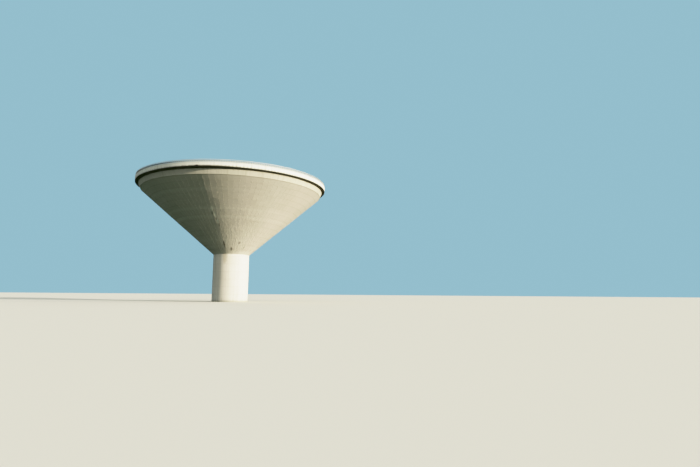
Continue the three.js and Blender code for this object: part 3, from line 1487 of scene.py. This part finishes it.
@dataclass(frozen=True)
class Shaft:
    """The round shaft that carries the tank, with a doorway in its back."""

    sizes: TowerSizes
    steps: int = 192
    lift: float = 1.5
    last_lift: float = 0.1
    doorway_side: float = 0.65
    doorway_height: float = 2.3
    cutter_reach: float = 0.5
    groove: float = 0.012
    depth: float = 0.01

    def finish(self) -> CastFinish:
        """Describes the white paint, a little dirty at the ground, with painted shade under the cone."""
        return CastFinish(
            name="shaft_paint",
            base=paint(230, 224, 213),
            patch_colour=paint(216, 210, 197),
            stain_colour=paint(142, 140, 122),
            bays=((0.0, 16.0),),
            lift=self.lift,
            foot=0.0,
            tone=0.04,
            patch=0.4,
            patches=Clouds(0.4, 5.0, 0.62, 0.38, 0.68),
            streak=0.22,
            streaks=Streaks(16.0),
            upright=0.16,
            level=0.28,
            roughness=0.8,
            # The lower strip is dirt splashed up from the ground; the upper one, under the cone, is painted
            # shade.
            dirt_and_shade_strips=(DirtAndShadeStrip(0.0, 1.3, 0.7), DirtAndShadeStrip(self.sizes.neck, 0.7, 0.3)),
            marks=(Mark(-6.0, self.sizes.neck - 0.6, 9.0, 1.6, 0.4, paint(160, 146, 112)),),
        )

    def build(self) -> None:
        """Builds the wall with grooves between its lifts, and cuts the doorway."""
        s = self.sizes
        profile = [(s.shaft_inner, 0.0), (s.shaft_radius, 0.0)]
        height = self.lift
        while height < s.neck - self.last_lift:
            profile += [
                (s.shaft_radius, height - self.groove),
                (s.shaft_radius - self.depth, height),
                (s.shaft_radius, height + self.groove),
            ]
            height += self.lift
        profile += [(s.shaft_radius, s.neck - GAP), (s.shaft_inner, s.neck - GAP)]
        bm = bmesh.new()
        spin_profile(bm, profile, self.steps)
        nodes = numbered("shaft_wall", 4)
        wall = finish_piece("shaft_wall", bm, self.finish().material(), nodes)
        self.cut_doorway(wall)

    def cut_doorway(self, wall: bpy.types.Object) -> None:
        """Cuts the doorway through the wall's back.

        Args:
            wall: the wall.
        """
        s = self.sizes
        bm = bmesh.new()
        low = (-self.doorway_side, s.shaft_inner - self.cutter_reach, s.floor_top)
        high = (self.doorway_side, s.shaft_radius + self.cutter_reach, s.floor_top + self.doorway_height)
        add_block(bm, low, high)
        cutter = add_object("doorway", mesh_of("doorway", bm))
        cut = wall.modifiers.new("doorway", "BOOLEAN")
        cut.operation = "DIFFERENCE"
        cut.solver = "EXACT"
        cut.object = cutter
        bpy.context.view_layer.update()
        evaluated = wall.evaluated_get(bpy.context.evaluated_depsgraph_get())
        finished = bpy.data.meshes.new_from_object(evaluated)
        wall.modifiers.clear()
        wall.data = finished
        bpy.data.objects.remove(cutter)
        finished.set_sharp_from_angle(angle=SHARP_ANGLE)


@dataclass(frozen=True)
class Door:
    """The steel door in the shaft's back."""

    rail_width: float = 0.07
    corner_angle: float = 1.0
    bevel: float = 0.004
    split: float = 0.42
    panel_margin: float = 0.11
    panel_edge: float = 0.01
    panel_sink: float = 0.012
    slats: int = 7
    slat_half: float = 0.32
    slat_foot: float = 0.22
    slat_room: float = 0.4
    slat_height: float = 0.03
    slat_sunk: float = 0.012
    slat_proud: float = 0.008
    hinge_heights: tuple[float, ...] = (0.35, 1.15, 1.95)
    hinge_length: float = 0.13
    hinge_radius: float = 0.012
    hinge_inset: float = 0.005
    lever_inset: float = 0.07
    lever_height: float = 1.02
    lever_reach: float = 0.05
    lever_length: float = 0.13
    lever_heel: float = 0.008
    lever_radius: float = 0.01
    plate_low: tuple[float, float, float] = (-0.022, -0.002, -0.11)
    plate_high: tuple[float, float, float] = (0.022, 0.008, 0.11)
    plate_bevel: float = 0.003
    rod_sides: int = 10

    def build_frame(self, steel: bpy.types.Material) -> None:
        """Builds the frame round the leaf.

        Args:
            steel: its finish.
        """
        low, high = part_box("door_frame")
        bm = bmesh.new()
        add_block(bm, low, high)
        bm.normal_update()
        sides = [f for f in bm.faces if abs(f.normal.y) > FACING]
        bmesh.ops.inset_individual(bm, faces=sides, thickness=self.rail_width, use_even_offset=True)
        inner = [edge for face in sides for edge in face.edges]
        bmesh.ops.delete(bm, geom=sides, context="FACES_ONLY")
        bmesh.ops.bridge_loops(bm, edges=inner)
        bmesh.ops.recalc_face_normals(bm, faces=bm.faces)
        corners = [edge for edge in bm.edges if edge.calc_face_angle(0.0) > self.corner_angle]
        bevel_edges(bm, corners, self.bevel)
        finish_piece("door_frame_steel", bm, steel, ["door_frame"])

    def build_leaf(self, steel: bpy.types.Material) -> None:
        """Builds the leaf with two sunk panels, a louvre, hinges and a lever.

        Args:
            steel: its finish.
        """
        low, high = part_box("door_leaf")
        bm = bmesh.new()
        add_block(bm, low, high)
        split = low.z + self.split * (high.z - low.z)
        geometry = list(bm.verts) + list(bm.edges) + list(bm.faces)
        bmesh.ops.bisect_plane(bm, geom=geometry, plane_co=(0.0, 0.0, split), plane_no=UP)
        bm.normal_update()
        faces = [f for f in bm.faces if abs(f.normal.y) > FACING]
        bmesh.ops.inset_individual(bm, faces=faces, thickness=self.panel_margin, use_even_offset=True)
        bmesh.ops.inset_individual(
            bm, faces=faces, thickness=self.panel_edge, depth=-self.panel_sink, use_even_offset=True
        )
        pitch = (split - low.z - self.slat_room) / (self.slats - 1)
        for index in range(self.slats):
            z = low.z + self.slat_foot + index * pitch
            corner = (self.slat_half, high.y + self.slat_proud, z + self.slat_height)
            add_block(bm, (-self.slat_half, high.y - self.slat_sunk, z), corner)
        self.add_fittings(bm, low, high)
        finish_piece("door_leaf_steel", bm, steel, ["door_leaf"])

    def add_fittings(self, bm: bmesh.types.BMesh, low: Vector, high: Vector) -> None:
        """Adds the hinges and the lever with its plate.

        Args:
            bm: mesh of the leaf.
            low: the leaf's lowest corner.
            high: its highest corner.
        """
        for height in self.hinge_heights:
            foot = Vector((low.x + self.hinge_inset, high.y + self.hinge_radius, low.z + height))
            add_rod(bm, foot, foot + UP * self.hinge_length, self.hinge_radius, self.rod_sides)
        grip = Vector((high.x - self.lever_inset, high.y, low.z + self.lever_height))
        add_block(bm, grip + Vector(self.plate_low), grip + Vector(self.plate_high), self.plate_bevel)
        stem = Vector((0.0, self.lever_reach + self.lever_radius / 2, 0.0))
        add_rod(bm, grip, grip + stem, self.lever_radius, self.rod_sides)
        near = grip + Vector((self.lever_heel, self.lever_reach, 0.0))
        far = grip + Vector((-self.lever_length, self.lever_reach, 0.0))
        add_rod(bm, near, far, self.lever_radius, self.rod_sides)

    def build(self, steel: bpy.types.Material) -> None:
        """Builds the frame and the leaf.

        Args:
            steel: their finish.
        """
        self.build_frame(steel)
        self.build_leaf(steel)


@dataclass(frozen=True)
class Hatch:
    """The kerb round the dome's hole, and the lid with its skirt, hinge and handle."""

    hole: float
    steps: int = 64
    chamfer: float = 0.02
    sheet: float = 0.02
    skirt: float = 0.07
    slope_width: float = 0.03
    slope_fall: float = 0.005
    flat_radius: float = 0.3
    hinge_half: float = 0.18
    hinge_radius: float = 0.022
    hinge_sides: int = 12
    handle_half: float = 0.14
    handle_inset: float = 0.16
    handle_height: float = 0.06
    handle_radius: float = 0.011
    handle_sides: int = 10
    post_half: float = 0.13
    post_height: float = 0.075
    sunk: float = 0.01

    def build_kerb(self, concrete: bpy.types.Material) -> None:
        """Builds the kerb.

        Args:
            concrete: its finish.
        """
        low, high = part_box("hatch_kerb")
        shoulder = high.z - self.chamfer
        profile = [
            (self.hole, low.z), (high.x, low.z), (high.x, shoulder), (high.x - self.chamfer, high.z),
            (self.hole + self.chamfer, high.z), (self.hole, shoulder),
        ]
        bm = bmesh.new()
        spin_profile(bm, profile, self.steps)
        finish_piece("hatch_kerb_cast", bm, concrete, ["hatch_kerb"])

    def build_lid(self, steel: bpy.types.Material) -> None:
        """Builds the lid.

        Args:
            steel: its finish.
        """
        low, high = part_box("hatch_lid")
        rim, foot = high.x, low.z - self.skirt
        profile = [
            (0.0, low.z), (rim - self.sheet, low.z), (rim - self.sheet, foot), (rim, foot),
            (rim, high.z - self.slope_width), (rim - self.slope_width, high.z - self.slope_fall),
            (self.flat_radius, high.z), (0.0, high.z),
        ]
        bm = bmesh.new()
        spin_profile(bm, profile, self.steps)
        pin = Vector((self.hinge_half, rim - self.sunk, low.z))
        add_rod(bm, pin * Vector((-1.0, 1.0, 1.0)), pin, self.hinge_radius, self.hinge_sides)
        for side in (-self.post_half, self.post_half):
            post = Vector((side, self.handle_inset - rim, high.z - self.sunk))
            add_rod(bm, post, post + UP * self.post_height, self.handle_radius, self.handle_sides)
        bar = Vector((self.handle_half, self.handle_inset - rim, high.z + self.handle_height))
        add_rod(bm, bar * Vector((-1.0, 1.0, 1.0)), bar, self.handle_radius, self.handle_sides)
        finish_piece("hatch_lid_steel", bm, steel, ["hatch_lid"])

    def build(self, concrete: bpy.types.Material, steel: bpy.types.Material) -> None:
        """Builds the kerb and the lid.

        Args:
            concrete: finish of the kerb.
            steel: finish of the lid.
        """
        self.build_kerb(concrete)
        self.build_lid(steel)


@dataclass(frozen=True)
class Vent:
    """A roof vent: a flange, a pipe and a cowl with an open skirt."""

    name: str
    steps: int = 32
    pipe: float = 0.15
    flange: float = 0.09
    flange_height: float = 0.1
    fillet_height: float = 0.03
    fillet: float = 0.01
    sheet: float = 0.02
    cowl: float = 0.16
    lip: float = 0.05
    shoulder: float = 0.03
    crown_share: float = 0.6
    crown_fall: float = 0.04

    def build(self, steel: bpy.types.Material) -> None:
        """Builds the vent.

        Args:
            steel: its finish.
        """
        low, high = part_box(self.name)
        axis = (low + high) / 2
        cap = (high.x - low.x) / 2
        inside = cap - self.sheet
        skirt = high.z - self.cowl
        ledge = low.z + self.flange_height
        profile = [
            (0.0, low.z), (self.pipe + self.flange, low.z), (self.pipe + self.flange, ledge),
            (self.pipe + self.fillet, ledge + self.fillet_height), (self.pipe, skirt),
            (self.pipe + self.sheet, skirt + self.sheet), (inside, skirt + self.sheet),
            (inside, skirt - self.lip), (cap, skirt - self.lip), (cap, skirt + self.shoulder),
            (cap * self.crown_share, high.z - self.crown_fall), (0.0, high.z),
        ]
        bm = bmesh.new()
        spin_profile(bm, profile, self.steps, Vector((axis.x, axis.y, 0.0)))
        finish_piece(f"{self.name}_steel", bm, steel, [self.name])


@dataclass(frozen=True)
class Roof:
    """The dome over the tank, which carries the hatch and two vents."""

    sizes: TowerSizes
    shell: float = 0.1
    foot_width: float = 0.37
    hole: float = 0.7
    gores: int = 48
    bands: int = 5
    rings_in_band: int = 3
    steps: int = 192
    seam: float = 0.035
    relief: float = 0.02

    def arc_height(self, radius: float, inset: float = 0.0) -> float:
        """Gives the height of the dome at a radius.

        Args:
            radius: distance from the axis.
            inset: depth below the outer face.

        Returns:
            The height.
        """
        s = self.sizes
        rise = self.crown - s.walkway
        curve = (s.dome_radius**2 + rise**2) / (2 * rise)
        return self.crown - curve + math.sqrt((curve - inset) ** 2 - radius**2)

    @property
    def crown(self) -> float:
        """Height of the dome's highest point, were it not cut by the hatch."""
        s = self.sizes
        rise = s.dome_top - s.walkway
        curve = (s.dome_radius**2 + rise**2) / (2 * rise)
        return s.dome_top + self.hole**2 / (2 * curve)

    def finish(self) -> CastFinish:
        """Describes the weathered roof concrete."""
        s = self.sizes
        return CastFinish(
            name="roof_concrete",
            base=paint(178, 175, 163),
            patch_colour=paint(142, 142, 128),
            stain_colour=paint(94, 95, 84),
            bays=((0.0, float(self.gores)),),
            lift=(s.dome_radius - self.hole) / self.bands,
            foot=self.hole,
            along=Along.RADIUS,
            tone=0.14,
            joint_width=0.09,
            patch=0.5,
            streak=0.35,
            streaks=Streaks(26.0, 0.1),
            upright=0.55,
            level=0.5,
            dirt_and_shade_strips=(DirtAndShadeStrip(s.dome_radius, 1.5, 0.4), DirtAndShadeStrip(self.hole, 1.6, 0.3)),
        )

    def build_dome(self, concrete: bpy.types.Material) -> None:
        """Builds the dome as one closed shell of gores.

        Args:
            concrete: its finish.
        """
        s = self.sizes
        rings = self.bands * self.rings_in_band
        radii = [s.dome_radius + (self.hole - s.dome_radius) * index / rings for index in range(rings + 1)]
        outer = [(radius, self.arc_height(radius)) for radius in radii]
        inner = [(radius, self.arc_height(radius, self.shell)) for radius in reversed(radii[1:])]
        foot = (s.dome_radius - self.foot_width, s.walkway + GAP)
        outer[0] = (s.dome_radius, s.walkway + GAP)
        bm = bmesh.new()
        width = self.steps // self.gores
        spin_sector(bm, outer + inner + [foot], width, self.steps)
        for band in range(self.bands):
            wide, narrow = radii[band * self.rings_in_band], radii[(band + 1) * self.rings_in_band]

            def belongs(middle: Vector, narrow: float = narrow, wide: float = wide) -> bool:
                """Says whether a face is in this band's outer side."""
                radius = middle.xy.length
                return narrow < radius < wide and abs(middle.z - self.arc_height(radius)) < self.shell / 2

            raise_panels(bm, belongs, width, self.seam, self.relief)
        repeat_round(bm, self.gores)
        finish_piece("roof_dome", bm, concrete, numbered("roof_dome", 4))

    def build(self) -> None:
        """Builds the dome, the hatch and the vents."""
        concrete = self.finish().material()
        steel = MetalFinish("hatch_paint", paint(188, 192, 188), paint(140, 144, 140), rust=0.5).material()
        self.build_dome(concrete)
        Hatch(self.hole).build(concrete, steel)
        for number in (1, 2):
            Vent(f"roof_vent_{number}").build(steel)


@dataclass(frozen=True)
class HiddenFloors:
    """The slabs inside the shaft, which keep their CAD solids."""

    def build(self) -> None:
        """Gives both slabs a weathered finish."""
        concrete = CastFinish(
            name="floor_concrete",
            base=paint(172, 168, 154),
            patch_colour=paint(150, 147, 132),
            stain_colour=paint(104, 102, 90),
            bays=((0.0, 12.0),),
            lift=1.5,
            foot=0.0,
            along=Along.RADIUS,
        ).material()
        for name in ("shaft_floor", "tank_floor"):
            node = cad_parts[name]
            node.data.materials.clear()
            node.data.materials.append(concrete)
            LOG.info("%s: finish on its CAD solid", name)


# Stage, light and camera


@dataclass(frozen=True)
class Studio:
    """Plain sky, pale floor, one low sun as in the photograph, and the glow of the sky round it."""

    sky: Colour = paint(148, 195, 215)
    sky_light: Colour = (0.51, 0.565, 0.55, 1.0)
    floor: Colour = paint(215, 214, 208)
    floor_bounce: Colour = (0.004, 0.022, 0.0, 1.0)
    floor_radius: float = 3000.0
    sun_angle: float = 68.0
    sun_height: float = 14.7
    sun_width: float = 1.5
    sun_strength: float = 7.6
    glow_width: float = 90.0
    glow_strength: float = 2.6
    sun_colour: tuple[float, float, float] = (1.0, 0.9, 0.7)
    shoulder: tuple[tuple[float, float], ...] = (
        (0.15, 0.15),
        (0.35, 0.35),
        (0.5, 0.48),
        (0.65, 0.59),
        (0.8, 0.67),
        (1.0, 0.76),
        (1.35, 0.845),
        (1.8, 0.895),
        (2.4, 0.925),
        (4.0, 0.96),
    )

    def build_film(self) -> None:
        """Rounds off the highlights as film does, so that white paint in the sun keeps its tone."""
        settings = bpy.context.scene.view_settings
        settings.view_transform = "Standard"
        settings.use_curve_mapping = True
        mapping = settings.curve_mapping
        brightest, top = self.shoulder[-1]
        mapping.white_level = (brightest, brightest, brightest)
        curve = mapping.curves[3]
        curve.points[-1].location = (1.0, top)
        for light, shown in self.shoulder[:-1]:
            curve.points.new(light / brightest, shown)
        mapping.update()

    def build_sky(self) -> None:
        """Makes the plain sky, which is paler as a light than it looks."""
        world = bpy.data.worlds.new("sky")
        bpy.context.scene.world = world
        world.use_nodes = True
        w = Wiring(world.node_tree)
        seen = w.node("ShaderNodeLightPath").outputs["Is Camera Ray"]
        w.feed(world.node_tree.nodes["Background"].inputs["Color"], w.blend(seen, self.sky_light, self.sky))

    def build_floor(self) -> None:
        """Makes the floor, which looks pale but throws little light up."""
        bm = bmesh.new()
        bmesh.ops.create_circle(bm, cap_ends=True, segments=96, radius=self.floor_radius)
        mesh = mesh_of("floor", bm)
        material, w, shader = new_material("floor")
        seen = w.node("ShaderNodeLightPath").outputs["Is Camera Ray"]
        w.feed(shader.inputs["Base Color"], w.blend(seen, self.floor_bounce, self.floor))
        shader.inputs["Roughness"].default_value = 1.0
        shader.inputs["Specular IOR Level"].default_value = 0.0
        mesh.materials.append(material)
        floor = add_object("floor", mesh)

    def build_sun(self, name: str, width: float, strength: float) -> None:
        """Hangs a light low at the right, a little towards the camera.

        Args:
            name: name of the light.
            width: width of its disc in the sky, in degrees.
            strength: how strong it is.
        """
        light = bpy.data.lights.new(name, "SUN")
        light.energy = strength
        light.angle = math.radians(width)
        light.color = self.sun_colour
        height = math.radians(self.sun_height)
        towards = direction(self.sun_angle) * math.cos(height) + UP * math.sin(height)
        add_object(name, light).rotation_euler = towards.to_track_quat("Z", "Y").to_euler()

    def build(self) -> None:
        """Makes the sky, the floor, the sun and its glow."""
        self.build_film()
        self.build_sky()
        self.build_floor()
        self.build_sun("sun", self.sun_width, self.sun_strength)
        self.build_sun("sun_glow", self.glow_width, self.glow_strength)


@dataclass(frozen=True)
class PhotoCamera:
    """The camera at the photograph's place and viewing angle."""

    place: tuple[float, float, float] = (24.46, -96.19, 1.6)
    lens_mm: float = 24.0
    sensor_mm: float = 36.0
    pitch_deg: float = 7.473
    roll_deg: float = 0.42
    near: float = 0.5
    far: float = 6000.0

    def build(self) -> None:
        """Places the camera and makes it the scene's own."""
        data = bpy.data.cameras.new("camera")
        data.sensor_fit = "HORIZONTAL"
        data.sensor_width = self.sensor_mm
        data.lens = self.lens_mm
        data.clip_start = self.near
        data.clip_end = self.far
        camera = add_object("camera", data)
        pitch = Matrix.Rotation(math.radians(90.0 + self.pitch_deg), 4, "X")
        roll = Matrix.Rotation(math.radians(self.roll_deg), 4, "Z")
        camera.matrix_world = Matrix.Translation(self.place) @ pitch @ roll
        bpy.context.scene.camera = camera


def main() -> None:
    """Builds the tower, its stage and its camera."""
    logging.basicConfig(level=logging.INFO, format="%(name)s: %(message)s")
    PhotoCamera().build()
    Studio().build()
    sizes = TowerSizes.from_frame()
    steel = MetalFinish("door_paint", paint(112, 122, 118), paint(84, 90, 86), metallic=0.2).material()
    Shaft(sizes).build()
    Door().build(steel)
    Cone(sizes).build()
    RingBeam(sizes).build()
    Walkway(sizes).build()
    Railing(sizes).build()
    Roof(sizes).build()
    HiddenFloors().build()


if __name__ == "__main__":
    main()
